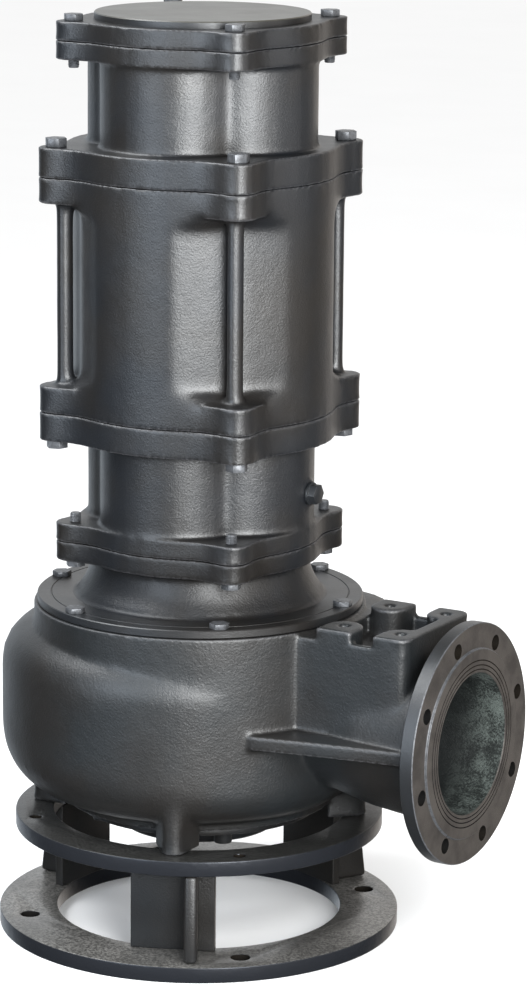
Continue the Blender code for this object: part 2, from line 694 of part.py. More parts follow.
def make_impeller():
    bore = SHAFT_RADIUS + GAP
    low, disc_low, disc_high, top = IMPELLER_LEVELS
    hub = IMPELLER_HUB
    profile = [(bore, low), (hub, low), (hub, disc_low), (IMPELLER_RADIUS, disc_low),
               (IMPELLER_RADIUS, disc_high), (hub, disc_high), (hub, top), (bore, top)]
    wheel = turned("impeller", profile, RING_STEPS // 2)
    # A vane is bent back along its length
    root, tip = VANE_SPAN
    shares = (0, 1 / 3, 2 / 3, 1)
    outer = [polar(root + (tip - root) * t, VANE_SWEEP * t + VANE_HALF) for t in shares]
    inner = [polar(root + (tip - root) * t, VANE_SWEEP * t - VANE_HALF) for t in reversed(shares)]
    vanes = [prism("vane", turn_outline(outer + inner, i * 2 * pi / VANES), low, disc_low + OVERLAP / 4)
             for i in range(VANES)]
    fuse(wheel, vanes)
    cut(wheel, [rod("bore", (0, 0), bore, low - OVERLAP, top + OVERLAP, 24)])
    return finish(wheel, "machined_iron")


def spiral_reach():
    # Furthest west and north of the spiral, to centre the pump on the origin
    turns = [-360 * i / RING_STEPS for i in range(RING_STEPS)]
    points = [polar(wall_radius(turn), radians(turn)) for turn in turns]
    return min(x for x, y in points), max(y for x, y in points)


def build():
    clear_scene()
    make_ring("base_ring", BASE_RADIUS, BASE_BORE, 0, BASE_TOP, BASE_HOLE)
    make_ring("stand_top_ring", STAND_RADIUS, STAND_BORE, STAND_UNDER, STAND_TOP, STAND_HOLE)
    for number, (plate_angle, rib_angle) in enumerate(LEGS, 1):
        make_leg(number, plate_angle, rib_angle)
    make_casing()
    make_flange()
    make_cover()
    make_oil_housing()
    make_plug()
    make_motor()
    make_terminal_housing()
    for name, (y, radius) in zip(("cable_gland_power", "cable_gland_control"), GLANDS):
        make_gland(name, y, radius)
    make_lid()
    make_suction_cover()
    make_wear_plate()
    make_cutter_ring()
    make_cutter_head()
    make_shaft()
    make_impeller()
    west, north = spiral_reach()
    axis = (-(OUTLET_FACE + west) / 2, -(north - BASE_RADIUS) / 2, 0)
    for piece in bpy.context.scene.objects:
        piece.location = axis


build()
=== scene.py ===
from math import cos, pi, radians, sin, sqrt

import bpy
import numpy as np
from mathutils import Matrix, Vector


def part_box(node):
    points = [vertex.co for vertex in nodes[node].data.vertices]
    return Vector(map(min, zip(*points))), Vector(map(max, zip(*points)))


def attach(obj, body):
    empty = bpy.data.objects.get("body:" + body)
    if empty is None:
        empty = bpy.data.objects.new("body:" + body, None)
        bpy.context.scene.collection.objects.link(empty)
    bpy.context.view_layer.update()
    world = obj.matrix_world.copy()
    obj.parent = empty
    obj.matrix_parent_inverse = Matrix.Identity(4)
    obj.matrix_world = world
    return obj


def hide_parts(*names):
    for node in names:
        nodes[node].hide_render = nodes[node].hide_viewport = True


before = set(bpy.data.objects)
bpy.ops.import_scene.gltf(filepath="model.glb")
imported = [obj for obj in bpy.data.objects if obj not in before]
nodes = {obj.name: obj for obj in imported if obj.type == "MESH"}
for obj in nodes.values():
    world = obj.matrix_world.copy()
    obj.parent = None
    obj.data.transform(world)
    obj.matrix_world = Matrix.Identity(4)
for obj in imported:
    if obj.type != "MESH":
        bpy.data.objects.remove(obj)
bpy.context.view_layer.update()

# The motor axis stands through the middle of the shaft
shaftLow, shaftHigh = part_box("shaft")
axis = Vector(((shaftLow.x + shaftHigh.x) / 2, (shaftLow.y + shaftHigh.y) / 2, 0))


# Shader values that can be added, subtracted and multiplied
class Wire:
    def __init__(self, tree, socket):
        self.tree = tree
        self.socket = socket

    def sum(self, operation, first, second):
        made = self.tree.nodes.new("ShaderNodeMath")
        made.operation = operation
        for place, value in enumerate((first, second)):
            if isinstance(value, Wire):
                self.tree.links.new(value.socket, made.inputs[place])
            else:
                made.inputs[place].default_value = value
        return Wire(self.tree, made.outputs[0])

    def __add__(self, other):
        return self.sum("ADD", self, other)

    def __radd__(self, other):
        return self.sum("ADD", other, self)

    def __sub__(self, other):
        return self.sum("SUBTRACT", self, other)

    def __rsub__(self, other):
        return self.sum("SUBTRACT", other, self)

    def __mul__(self, other):
        return self.sum("MULTIPLY", self, other)

    def __rmul__(self, other):
        return self.sum("MULTIPLY", other, self)


# A node tree: node() adds a node, with its settings first and then its values or links
class Shade:
    def __init__(self, tree):
        self.tree = tree

    def node(self, kind, values=None, out=0, **settings):
        made = self.tree.nodes.new(kind)
        for key, value in settings.items():
            setattr(made, key, value)
        for key, value in (values or {}).items():
            socket = made.inputs[key]
            if isinstance(value, Wire):
                self.tree.links.new(value.socket, socket)
            else:
                socket.default_value = value
        return Wire(self.tree, made.outputs[out])

    def steps(self, value, low, high):
        # 0 below low, 1 above high, smooth between
        return self.node("ShaderNodeMapRange", {"Value": value, "From Min": low, "From Max": high},
                         interpolation_type="SMOOTHSTEP")

    def blend(self, share, first, second):
        # The first colour where share is 0, the second where it is 1
        made = self.tree.nodes.new("ShaderNodeMix")
        made.data_type = "RGBA"
        for place, value in ((0, share), (6, first), (7, second)):
            if isinstance(value, Wire):
                self.tree.links.new(value.socket, made.inputs[place])
            elif place:
                made.inputs[place].default_value = (*value, 1)
            else:
                made.inputs[place].default_value = value
        return Wire(self.tree, made.outputs[2])


class Finish(Shade):
    def __init__(self, name):
        self.material = bpy.data.materials.new(name)
        self.material.use_nodes = True
        super().__init__(self.material.node_tree)
        self.shader = self.tree.nodes["Principled BSDF"]
        self.place = self.node("ShaderNodeTexCoord", out="Object")

    def noise(self, size, detail=2.0, rough=0.5):
        # Cloudy values from 0 to 1, with lumps about as big as size
        return self.node("ShaderNodeTexNoise", {"Vector": self.place, "Scale": 1 / size, "Detail": detail,
                                                "Roughness": rough})

    def relief(self, height, depth):
        return self.node("ShaderNodeBump", {"Height": height, "Distance": depth, "Strength": 1.0})

    def finish(self, **values):
        for key, value in values.items():
            socket = self.shader.inputs[key.replace("_", " ")]
            if isinstance(value, Wire):
                self.tree.links.new(value.socket, socket)
            else:
                socket.default_value = value
        return self.material


castLook = {
    "cool": (0.0065, 0.0078, 0.0100),
    "warm": (0.0085, 0.0073, 0.0063),
    "worn": (0.070, 0.070, 0.074),      # rubbed ridges, on dense meshes only
    "wornShare": 0.55,
    "ridge": (0.515, 0.56),     # how sharp a ridge begins to show and shows fully
    "ridgeFray": 0.05,
    "gloss": 0.80,
    "peel": 0.0026,             # size of the paint's dimples
    "ripple": 0.014,            # size of the casting's waves
    "patch": 0.16,              # size of the cool and warm areas
    "patchEdge": (0.35, 0.65),
    "peelDepth": 0.00042,
    "rippleDepth": 0.0003,
    "roughLow": 0.34,
    "roughHigh": 0.46,
    "roughSize": 0.05,
}


def castPaint(name, **changes):
    # Dark paint over a sand casting: dimples, waves, cool and warm areas, rubbed ridges
    look = dict(castLook, **changes)
    paint = Finish(name)
    patch = paint.steps(paint.noise(look["patch"], 3), *look["patchEdge"])
    peel = paint.noise(look["peel"], 3, 0.6)
    ripple = paint.noise(look["ripple"], 2)
    colour = paint.blend(patch, look["cool"], look["warm"])
    if look["worn"]:
        ridge = paint.node("ShaderNodeNewGeometry", out="Pointiness")
        rubbed = paint.steps(ridge + (peel - 0.5) * look["ridgeFray"], *look["ridge"])
        colour = paint.blend(rubbed * look["wornShare"], colour, look["worn"])
    rough = look["roughLow"] + (look["roughHigh"] - look["roughLow"]) * paint.noise(look["roughSize"], 4)
    height = peel + ripple * (look["rippleDepth"] / look["peelDepth"])
    return paint.finish(Base_Color=colour, Roughness=rough, Specular_IOR_Level=look["gloss"],
                        Normal=paint.relief(height, look["peelDepth"]))


ringLook = {
    "rim": (0.020, 0.022, 0.027),
    # The top colour is partly the pitted plate's own tone and partly painted top light
    "top": (0.230, 0.222, 0.208),
    "speck": (0.068, 0.066, 0.062),
    "flat": (0.6, 0.9),         # how far up a face looks where the top's colour begins and is full
    "pit": 0.0035,              # size of the pits
    "pitEdge": (0.40, 0.60),
    "patch": 0.09,              # size of the darker areas
    "patchEdge": (0.42, 0.66),
    "patchShare": 0.5,
    "rough": 0.32,
    "roughSpread": 0.2,
    "metal": 0.5,
    "grain": 0.30,              # height of the pits on a rim, and what a flat top adds
    "sway": 0.02,               # size and height of the plate's slight waves
    "swayHeight": 0.8,
    "depth": 0.0006,
}


def ringPaint(name, **changes):
    # Thin paint on plate: smooth rims and pitted flat tops, the tops paler partly in their own tone and
    # partly as painted top light
    look = dict(ringLook, **changes)
    paint = Finish(name)
    facing = paint.node("ShaderNodeNewGeometry", out="Normal")
    up = paint.node("ShaderNodeSeparateXYZ", {"Vector": facing}, out="Z")
    # Faces that look up turn to the top colour: partly painted top light
    top = paint.steps(up, *look["flat"])
    pits = paint.noise(look["pit"], 4, 0.65)
    patch = paint.steps(paint.noise(look["patch"], 3), *look["patchEdge"])
    flat = paint.blend(paint.steps(pits, *look["pitEdge"]), look["speck"], look["top"])
    flat = paint.blend(patch * look["patchShare"], flat, look["speck"])
    colour = paint.blend(top, look["rim"], flat)
    rough = look["rough"] + (pits - 0.5) * look["roughSpread"]
    height = pits * (look["grain"] + top * look["grain"]) + paint.noise(look["sway"]) * look["swayHeight"]
    return paint.finish(Base_Color=colour, Roughness=rough, Metallic=look["metal"],
                        Normal=paint.relief(height, look["depth"]))


turnedLook = {
    "base": (0.072, 0.064, 0.058),
    "dark": (0.042, 0.037, 0.034),
    "patch": 0.05,              # size of the dark areas
    "patchEdge": (0.35, 0.7),
    "pitch": 0.0016,            # spacing of the tool's marks
    "wander": 0.0015,           # how far the marks stray
    "rough": 0.38,
    "ringRough": 0.04,          # what the marks and the dark areas add to the roughness
    "patchRough": 0.12,
    "metal": 0.5,
    "grain": 0.004,             # size and height of the casting's grain
    "grainHeight": 1.2,
    "depth": 0.00009,
}


def turnedIron(name, centre, along):
    # Faced iron with fine rings about a centre, along one axis
    look = turnedLook
    iron = Finish(name)
    spot = iron.node("ShaderNodeVectorMath", {0: iron.place, 1: tuple(centre)}, operation="SUBTRACT")
    keep = [1, 1, 1]
    keep["XYZ".index(along)] = 0
    flat = iron.node("ShaderNodeVectorMath", {0: spot, 1: tuple(keep)}, operation="MULTIPLY")
    reach = iron.node("ShaderNodeVectorMath", {0: flat}, out="Value", operation="LENGTH")
    drift = iron.noise(0.03, 3)
    angle = (reach + drift * look["wander"]) * (2 * pi / look["pitch"])
    rings = iron.node("ShaderNodeMath", {0: angle}, operation="SINE")
    patch = iron.steps(iron.noise(look["patch"], 4, 0.6), *look["patchEdge"])
    colour = iron.blend(patch, look["base"], look["dark"])
    rough = look["rough"] + rings * look["ringRough"] + patch * look["patchRough"]
    height = rings * 0.5 + iron.noise(look["grain"], 3) * look["grainHeight"]
    return iron.finish(Base_Color=colour, Roughness=rough, Metallic=look["metal"],
                       Normal=iron.relief(height, look["depth"]))


boreLook = {
    "dark": (0.015, 0.018, 0.017),
    "pale": (0.085, 0.100, 0.092),
    # Painted shade: the wall turns towards this near-black colour further in
    "paintedShade": (0.004, 0.005, 0.005),
    "paintedShadeShare": 0.95,
    "shade": (0.0, 0.08),       # how far in the wall begins and ends to go dark
    "sand": 0.0030,             # size of the sand's grain and of the blotches
    "blotch": 0.034,
    "blotchEdge": (0.42, 0.60),
    "rough": 0.62,
    "roughSpread": 0.2,
    "gloss": 0.2,
    "blotchHeight": 0.8,
    "depth": 0.0016,
}


def roughBore(name, face):
    # Bare sand-cast wall of the water passage, greenish and blotched, and darker further in as painted shade
    look = boreLook
    wall = Finish(name)
    sand = wall.noise(look["sand"], 4, 0.7)
    blotch = wall.noise(look["blotch"], 4, 0.6)
    along = wall.node("ShaderNodeSeparateXYZ", {"Vector": wall.place}, out="X")
    mixed = wall.steps(sand * 0.5 + blotch * 0.5, *look["blotchEdge"])
    colour = wall.blend(mixed, look["dark"], look["pale"])
    # Painted shade: the wall darkens with depth behind the outlet's face
    colour = wall.blend(wall.steps(face - along, *look["shade"]) * look["paintedShadeShare"], colour, look["paintedShade"])
    rough = look["rough"] + (sand - 0.5) * look["roughSpread"]
    return wall.finish(Base_Color=colour, Roughness=rough, Specular_IOR_Level=look["gloss"],
                       Normal=wall.relief(sand + blotch * look["blotchHeight"], look["depth"]))


steelLook = {
    "cloud": 0.006,             # size of the dull areas
    "cloudEdge": (0.4, 0.7),
    "dull": 0.55,               # how dark they are beside the bare metal
    "roughSpread": 0.2,
    "depth": 0.00012,
}


def bareSteel(name, base, rough, metallic):
    # Bolts, turned steel and dull iron
    look = steelLook
    steel = Finish(name)
    cloud = steel.noise(look["cloud"], 4, 0.6)
    dull = tuple(look["dull"] * part for part in base)
    colour = steel.blend(steel.steps(cloud, *look["cloudEdge"]), base, dull)
    return steel.finish(Base_Color=colour, Roughness=rough + (cloud - 0.5) * look["roughSpread"],
                        Metallic=metallic, Normal=steel.relief(cloud, look["depth"]))


# Middle of the outlet's raised face
flangeLow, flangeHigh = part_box("discharge_flange")
outlet = Vector((flangeHigh.x, axis.y, (flangeLow.z + flangeHigh.z) / 2))

paints = {
    "housing": castPaint("housing_paint"),
    "casing": castPaint("casing_paint", cool=(0.0070, 0.0088, 0.0100), peelDepth=0.00048, peel=0.0032,
                        rippleDepth=0.00035, roughLow=0.38, roughHigh=0.52),
    "neck": castPaint("neck_paint", gloss=0.5),
    "plain": castPaint("smooth_paint", cool=(0.0100, 0.0115, 0.0135), worn=None, peelDepth=0.00020,
                       rippleDepth=0.0002),
    "lid": castPaint("lid_paint", cool=(0.050, 0.048, 0.039), warm=(0.044, 0.041, 0.032), worn=None,
                     peelDepth=0.00010, rippleDepth=0.0002, roughLow=0.30, roughHigh=0.42),
    "ring": ringPaint("ring_paint"),
    # The upper ring's top is painted much darker: painted shade from the casing above
    "upperRing": ringPaint("upper_ring_paint", top=(0.060, 0.059, 0.056), speck=(0.022, 0.022, 0.021)),
    "leg": castPaint("leg_paint", cool=(0.0095, 0.0106, 0.0118), warm=(0.0115, 0.0104, 0.0094), worn=None,
                     ripple=0.05, roughLow=0.30, roughHigh=0.44, gloss=0.6),
    # Near-black paint for bolt-hole walls and flange grooves: painted shade
    "hole": castPaint("painted_hole_shade", cool=(0.004, 0.004, 0.004), warm=(0.008, 0.006, 0.004), worn=None,
                      roughLow=0.7, roughHigh=0.9, gloss=0.1),
    "face": turnedIron("machined_iron", outlet, "X"),
    "bore": roughBore("bore_wall", outlet.x),
    "bolt": bareSteel("bolt_steel", (0.110, 0.114, 0.122), 0.40, 0.5),
    "steel": bareSteel("bright_steel", (0.42, 0.41, 0.40), 0.34, 0.9),
    "iron": bareSteel("dull_iron", (0.12, 0.11, 0.10), 0.5, 0.6),
}
print("finishes made")


# Ways of working on a piece

def take(*pieces):
    # Selects these pieces only, the first one active
    bpy.ops.object.select_all(action="DESELECT")
    for piece in pieces:
        piece.select_set(True)
    bpy.context.view_layer.objects.active = pieces[0]


def applied(piece, kind, **settings):
    # Adds a modifier and applies it
    take(piece)
    step = piece.modifiers.new(kind.lower(), kind)
    for key, value in settings.items():
        setattr(step, key, value)
    bpy.ops.object.modifier_apply(modifier=step.name)
    return piece


def joined(name, pieces):
    # One piece, with its place in its mesh
    take(*pieces)
    if len(pieces) > 1:
        bpy.ops.object.join()
    bpy.ops.object.transform_apply(location=True, rotation=True, scale=True)
    pieces[0].name = name
    return pieces[0]


def drum(name, radius, low, high, sides, at=(0, 0)):
    # Upright cylinder between two heights
    bpy.ops.object.select_all(action="DESELECT")
    bpy.ops.mesh.primitive_cylinder_add(vertices=sides, radius=radius, depth=high - low,
                                        location=(at[0], at[1], (low + high) / 2))
    return joined(name, [bpy.context.object])


def lathe(name, profile, steps):
    # A closed outline of (radius, height) spun about the upright axis
    mesh = bpy.data.meshes.new(name)
    count = len(profile)
    mesh.from_pydata([(r, 0, z) for r, z in profile], [(i, (i + 1) % count) for i in range(count)], [])
    made = bpy.data.objects.new(name, mesh)
    bpy.context.scene.collection.objects.link(made)
    take(made)
    bpy.ops.object.mode_set(mode="EDIT")
    bpy.ops.mesh.select_all(action="SELECT")
    bpy.ops.mesh.spin(steps=steps, angle=2 * pi, center=(0, 0, 0), axis=(0, 0, 1))
    bpy.ops.mesh.select_all(action="SELECT")
    bpy.ops.mesh.remove_doubles(threshold=1e-5)
    bpy.ops.mesh.normals_make_consistent(inside=False)
    bpy.ops.object.mode_set(mode="OBJECT")
    return made


def spunDisc(name, profile):
    # A disc about the motor axis, smooth between its edges
    disc = lathe(name, profile, 160)
    disc.location = axis
    joined(name, [disc])
    take(disc)
    bpy.ops.object.shade_smooth_by_angle(angle=radians(30))
    return disc


def cutAt(piece, height, **side):
    # Takes away what lies on one side of a height and closes the cut
    take(piece)
    bpy.ops.object.mode_set(mode="EDIT")
    bpy.ops.mesh.select_all(action="SELECT")
    bpy.ops.mesh.bisect(plane_co=(0, 0, height), plane_no=(0, 0, 1), use_fill=True, **side)
    bpy.ops.object.mode_set(mode="OBJECT")
    return piece


def carved(piece, tools, operation="DIFFERENCE"):
    # Cuts the tools out of a piece, or keeps what both share
    tool = joined("tool", tools)
    applied(piece, "BOOLEAN", object=tool, operation=operation)
    bpy.data.objects.remove(tool, do_unlink=True)
    return piece


def edged(piece, width, segments=2, angle=40):
    # Broken edges, then smooth shading between them
    applied(piece, "BEVEL", width=width, segments=segments, limit_method="ANGLE", angle_limit=radians(angle))
    take(piece)
    bpy.ops.object.shade_smooth_by_angle(angle=radians(35))
    return piece


def nodeCopy(node, name):
    # A CAD node's shape with its points merged and its flat faces whole
    mesh = nodes[node].data.copy()
    mesh.materials.clear()
    made = bpy.data.objects.new(name, mesh)
    bpy.context.scene.collection.objects.link(made)
    take(made)
    bpy.ops.object.mode_set(mode="EDIT")
    bpy.ops.mesh.select_all(action="SELECT")
    bpy.ops.mesh.customdata_custom_splitnormals_clear()
    bpy.ops.mesh.remove_doubles(threshold=1e-5)
    bpy.ops.mesh.dissolve_limited(angle_limit=radians(0.3))
    bpy.ops.object.mode_set(mode="OBJECT")
    return made


def settle(piece, rounds, chosen):
    # Each round moves every point in or out, towards its neighbours, by the share that chosen gives
    mesh = piece.data
    count = len(mesh.vertices)
    ends = np.empty(len(mesh.edges) * 2, np.int32)
    mesh.edges.foreach_get("vertices", ends)
    share = np.bincount(ends, minlength=count)[:, None]
    one, other = ends[::2], ends[1::2]
    place = np.empty(count * 3)
    mesh.vertices.foreach_get("co", place)
    place = place.reshape(-1, 3)
    facing = np.empty(count * 3)
    for _ in range(rounds):
        mesh.vertices.foreach_get("normal", facing)
        out = facing.reshape(-1, 3)
        around = np.empty_like(place)
        for k in range(3):
            around[:, k] = (np.bincount(one, place[other, k], count)
                            + np.bincount(other, place[one, k], count))
        lift = ((around / share - place) * out).sum(axis=1)
        place = place + (chosen(lift) * lift)[:, None] * out
        mesh.vertices.foreach_set("co", place.ravel())
        mesh.update()


castSkin = {
    "even": 24,                 # rounds that take out shallow creases
    "crease": 0.06,             # what counts as shallow, as a share of the voxel
    "fill": 0.9,                # how fast creases and hollow corners fill, and ridges wear
    "wear": 0.12,
    "blend": 60,                # rounds that let part of the wall flow together
    "wave": 0.0004,             # height and size of the slight waves
    "waveSize": 0.045,
}


def cast(piece, voxel, fillet, soft=3, blend=None, most=165000):
    # Sand-casting skin: even mesh, rounded edges, filled corners and slight waves
    look = castSkin
    take(piece)
    piece.data.remesh_voxel_size = voxel
    piece.data.use_remesh_fix_poles = False
    piece.data.use_remesh_preserve_volume = False
    bpy.ops.object.voxel_remesh()
    # Shallow creases go first, so that round walls are round
    shallow = voxel * look["crease"]
    settle(piece, look["even"], lambda lift: look["fill"] * np.clip(1.4 - (lift / shallow) ** 2, 0, 1))
    if blend:
        # Part of the wall flows together, such as shallow recesses
        group = piece.vertex_groups.new(name="blend")
        group.add([point.index for point in piece.data.vertices if blend(point.co)], 1.0, "REPLACE")
        applied(piece, "SMOOTH", factor=0.5, iterations=look["blend"], vertex_group="blend")
    applied(piece, "SMOOTH", factor=0.5, iterations=soft)
    # Hollow corners fill and ridges hardly wear
    settle(piece, fillet, lambda lift: np.where(lift > 0, look["fill"], look["wear"]))
    cloud = bpy.data.textures.new("casting_wave", "CLOUDS")
    cloud.noise_scale = look["waveSize"]
    cloud.noise_depth = 1
    applied(piece, "DISPLACE", texture=cloud, texture_coords="LOCAL", strength=look["wave"], mid_level=0.5)
    triangles = sum(len(face.vertices) - 2 for face in piece.data.polygons)
    if triangles > most:
        applied(piece, "DECIMATE", ratio=most / triangles)
    take(piece)
    bpy.ops.object.shade_smooth()
    print("cast", piece.name, min(triangles, most), "triangles")
    return piece


def stamped(name, pattern, places):
    # Copies of a pattern, each with its own mesh, joined into one piece
    copies = []
    for place in places:
        copy = pattern.copy()
        copy.data = pattern.data.copy()
        copy.matrix_world = place
        bpy.context.scene.collection.objects.link(copy)
        copies.append(copy)
    bpy.data.objects.remove(pattern, do_unlink=True)
    return joined(name, copies)


def shown(piece, paint, slot, *replaced):
    # Paint and body of a finished piece, and the nodes that it stands for, which are hidden
    piece.data.materials.clear()
    piece.data.materials.append(paint)
    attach(piece, "root")
    if replaced:
        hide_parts(*replaced)
    return piece


def about(radius, degrees, z, flip):
    # Place on a circle about the motor axis, turned to face out, or also upside down
    turn = radians(degrees)
    spot = Matrix.Translation((axis.x + radius * cos(turn), axis.y + radius * sin(turn), z))
    return spot @ Matrix.Rotation(turn, 4, "Z") @ Matrix.Rotation(pi if flip else 0, 4, "X")


# Castings

flangeLook = {
    "radius": 0.1700,
    "thick": 0.0200,
    "edge": 0.0012,
    "raise": 0.0030,        # the raised face: its height, radius and edge
    "face": 0.1336,
    "faceEdge": 0.0008,
    "bore": 0.1000,
    "boreEdge": 0.001,
    "passage": 0.29,        # how deep the bare wall goes in behind the face
    "circle": 0.1470,       # the bolt holes: their circle, radius, number and first angle
    "hole": 0.0110,
    "holes": 8,
    "turn": 16.7,
    "collar": 0.1215,       # the back's rounded rise to the neck, and how far it sinks in
    "fillet": 0.010,
    "sink": 0.004,
    "grooves": (0.1174, 0.1108, 0.1048),
    "groove": 0.0008,
}


def barrelWall(point):
    # The motor's round wall between its two eared plates, without the four columns
    return (point - axis).xy.length < 0.1985 and 0.772 < point.z < 1.078


upperCastings = {
    "sealHousing": {"node": "seal_housing", "voxel": 0.0022, "fillet": 6},
    "motorBody": {"node": "motor_body", "voxel": 0.0026, "fillet": 6, "blend": barrelWall},
    "terminalHousing": {"node": "terminal_housing", "voxel": 0.0022, "fillet": 6},
}


def makeUpperCastings():
    for name, look in upperCastings.items():
        piece = cast(nodeCopy(look["node"], name), look["voxel"], look["fillet"], soft=2,
                     blend=look.get("blend"))
        shown(piece, paints["housing"], "housing_paint", look["node"])


casingLook = {"voxel": 0.0027, "fillet": 4, "soft": 1, "most": 185000, "slack": 0.001}


def makeCasing():
    look = casingLook
    piece = cast(nodeCopy("volute_casing", "voluteCasing"), look["voxel"], look["fillet"], soft=look["soft"],
                 most=look["most"])
    shown(piece, paints["casing"], "casing_paint", "volute_casing")
    piece.data.materials.append(paints["bore"])
    reach, depth = flangeLook["bore"] + look["slack"], outlet.x - flangeLook["passage"]
    for face in piece.data.polygons:
        away = Vector((0, face.center.y - outlet.y, face.center.z - outlet.z))
        inside = away.length < reach and face.center.x > depth
        if inside and face.normal.dot(away) < 0:
            face.material_index = 1


coverLook = {
    "voxel": 0.0026,
    "fillet": 14,           # rounds of filling
    "most": 100000,         # triangles
    "joint": 0.4885,        # height at which the neck's own mesh begins
    "under": 0.4788,        # heights of the turned disc
    "top": 0.4905,
    "inner": 0.030,
    "discEdge": 0.0012,
    "grooveRadius": 0.2130,
    "grooveHalf": 0.0011,
}


def makeCover():
    # The neck with its eared plate is cast, and the disc below it is turned
    low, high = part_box("casing_cover")
    look = coverLook
    neck = cutAt(nodeCopy("casing_cover", "coverNeck"), look["joint"], clear_inner=True)
    cast(neck, look["voxel"], look["fillet"], most=look["most"])
    shown(neck, paints["neck"], "casing_paint", "casing_cover")
    radius = (high.x - low.x) / 2
    inner, under, top, edge = look["inner"], look["under"], look["top"], look["discEdge"]
    mid, half = look["grooveRadius"], look["grooveHalf"]
    profile = [(inner, under), (radius - edge, under), (radius, under + edge), (radius, top - edge),
               (radius - edge, top), (mid + half, top), (mid + half * 0.4, top - half),
               (mid - half * 0.4, top - half), (mid - half, top), (inner, top)]
    shown(spunDisc("coverDisc", profile), paints["plain"], "casing_paint")


lidLook = {
    "voxel": 0.0026,
    "fillet": 4,
    "plateTop": 1.3080,     # height at which the eared plate ends
    "disc": 0.1511,         # the round top: its radius, edge and how far it sinks in
    "edge": 0.0014,
    "sink": 0.004,
    "flat": 0.3,            # faces that look up less than this are painted as the rim
}


def makeLid():
    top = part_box("top_cover")[1].z
    look = lidLook
    plate = cutAt(nodeCopy("top_cover", "topCover"), look["plateTop"], clear_outer=True)
    cast(plate, look["voxel"], look["fillet"])
    shown(plate, paints["housing"], "housing_paint", "top_cover")
    radius, edge = look["disc"], look["edge"]
    bottom = look["plateTop"] - look["sink"]
    profile = [(0, bottom), (radius, bottom), (radius, top - edge), (radius - edge, top), (0, top)]
    disc = spunDisc("lidDisc", profile)
    shown(disc, paints["lid"], "housing_paint")
    disc.data.materials.append(paints["plain"])
    for face in disc.data.polygons:
        if face.normal.z < look["flat"]:
            face.material_index = 1


# Turned and cut pieces

def flangeProfile():
    # Outline of (radius, height), from the bore's back end round to its front
    look = flangeLook
    bore, radius, face, sink = look["bore"], look["radius"], look["face"], look["sink"]
    edge, faceEdge, boreEdge = look["edge"], look["faceEdge"], look["boreEdge"]
    shoulder = look["thick"]
    top = shoulder + look["raise"]
    collar = [(look["collar"] + look["fillet"] * (1 - sin(t)), look["fillet"] * (cos(t) - 1))
              for t in np.linspace(0, pi / 2, 7)]
    profile = [(bore, -sink), (look["collar"] - sink, -look["fillet"] - 0.001)]
    profile += collar[::-1]
    profile += [(radius - edge, 0), (radius, edge), (radius, shoulder - edge), (radius - edge, shoulder),
                (face + edge, shoulder), (face, shoulder + edge), (face, top - faceEdge),
                (face - faceEdge, top)]
    deep = look["groove"]
    for groove in look["grooves"]:
        profile += [(groove + deep, top), (groove + deep * 0.5, top - deep),
                    (groove - deep * 0.5, top - deep), (groove - deep, top)]
    return profile + [(bore + boreEdge, top), (bore, top - boreEdge)]


def flangePart(face):
    # The finish of one face: pale steel edges as wear and painted highlight, grooves and holes near-black as
    # painted shade, machined face, bare bore
    look = flangeLook
    away = Vector((0, face.center.y - outlet.y, face.center.z - outlet.z)).length
    raised = face.center.x > outlet.x - look["raise"]
    step = raised and abs(away - look["face"]) < 0.001
    rim = away > look["radius"] - look["edge"] and 0.3 < face.normal.x < 0.9
    sunk = 0.0001 < outlet.x - face.center.x < 2 * look["groove"]
    # The raised face's step and the rim's chamfer get pale steel: partly bare worn edges, partly a painted
    # highlight
    if step or rim:
        return "bolt"
    # Grooves are painted near-black: painted shade
    if sunk and min(abs(away - groove) for groove in look["grooves"]) < look["groove"]:
        return "hole"
    if face.normal.x > 0.5 or raised:
        return "face"
    if away < look["bore"] + 0.0005:
        return "bore"
    # Bolt-hole walls are painted near-black: painted shade
    if abs(away - look["circle"]) < look["hole"] and abs(face.normal.x) < 0.5:
        return "hole"
    return "plain"


def makeFlange():
    look = flangeLook
    flange = lathe("dischargeFlange", flangeProfile(), 160)
    tools = []
    for i in range(look["holes"]):
        turn = radians(look["turn"]) + 2 * pi * i / look["holes"]
        tools.append(drum("drill", look["hole"], -0.02, 0.04, 32,
                          (look["circle"] * sin(turn) * -1, look["circle"] * cos(turn))))
    carved(flange, tools)
    # The spun axis is laid along X, with the turned height pointing out of the outlet
    back = outlet.x - (look["thick"] + look["raise"])
    lay = Matrix(((0, 0, 1, back), (0, 1, 0, outlet.y), (-1, 0, 0, outlet.z), (0, 0, 0, 1)))
    flange.data.transform(lay)
    take(flange)
    bpy.ops.object.shade_smooth_by_angle(angle=radians(30))
    finishes = ("plain", "face", "bore", "hole", "bolt")
    shown(flange, paints["plain"], "machined_iron", "discharge_flange")
    for name in finishes[1:]:
        flange.data.materials.append(paints[name])
    for face in flange.data.polygons:
        face.material_index = finishes.index(flangePart(face))


plateEdges = {"ring": 0.0018, "leg": 0.0016}
rings = {
    "baseRing": {"node": "base_ring", "bore": 0.2060, "hole": 0.0135, "circle": 0.250, "paint": "ring"},
    "standTopRing": {"node": "stand_top_ring", "bore": 0.2105, "hole": 0.0085, "circle": 0.241,
                     "paint": "upperRing"},
}


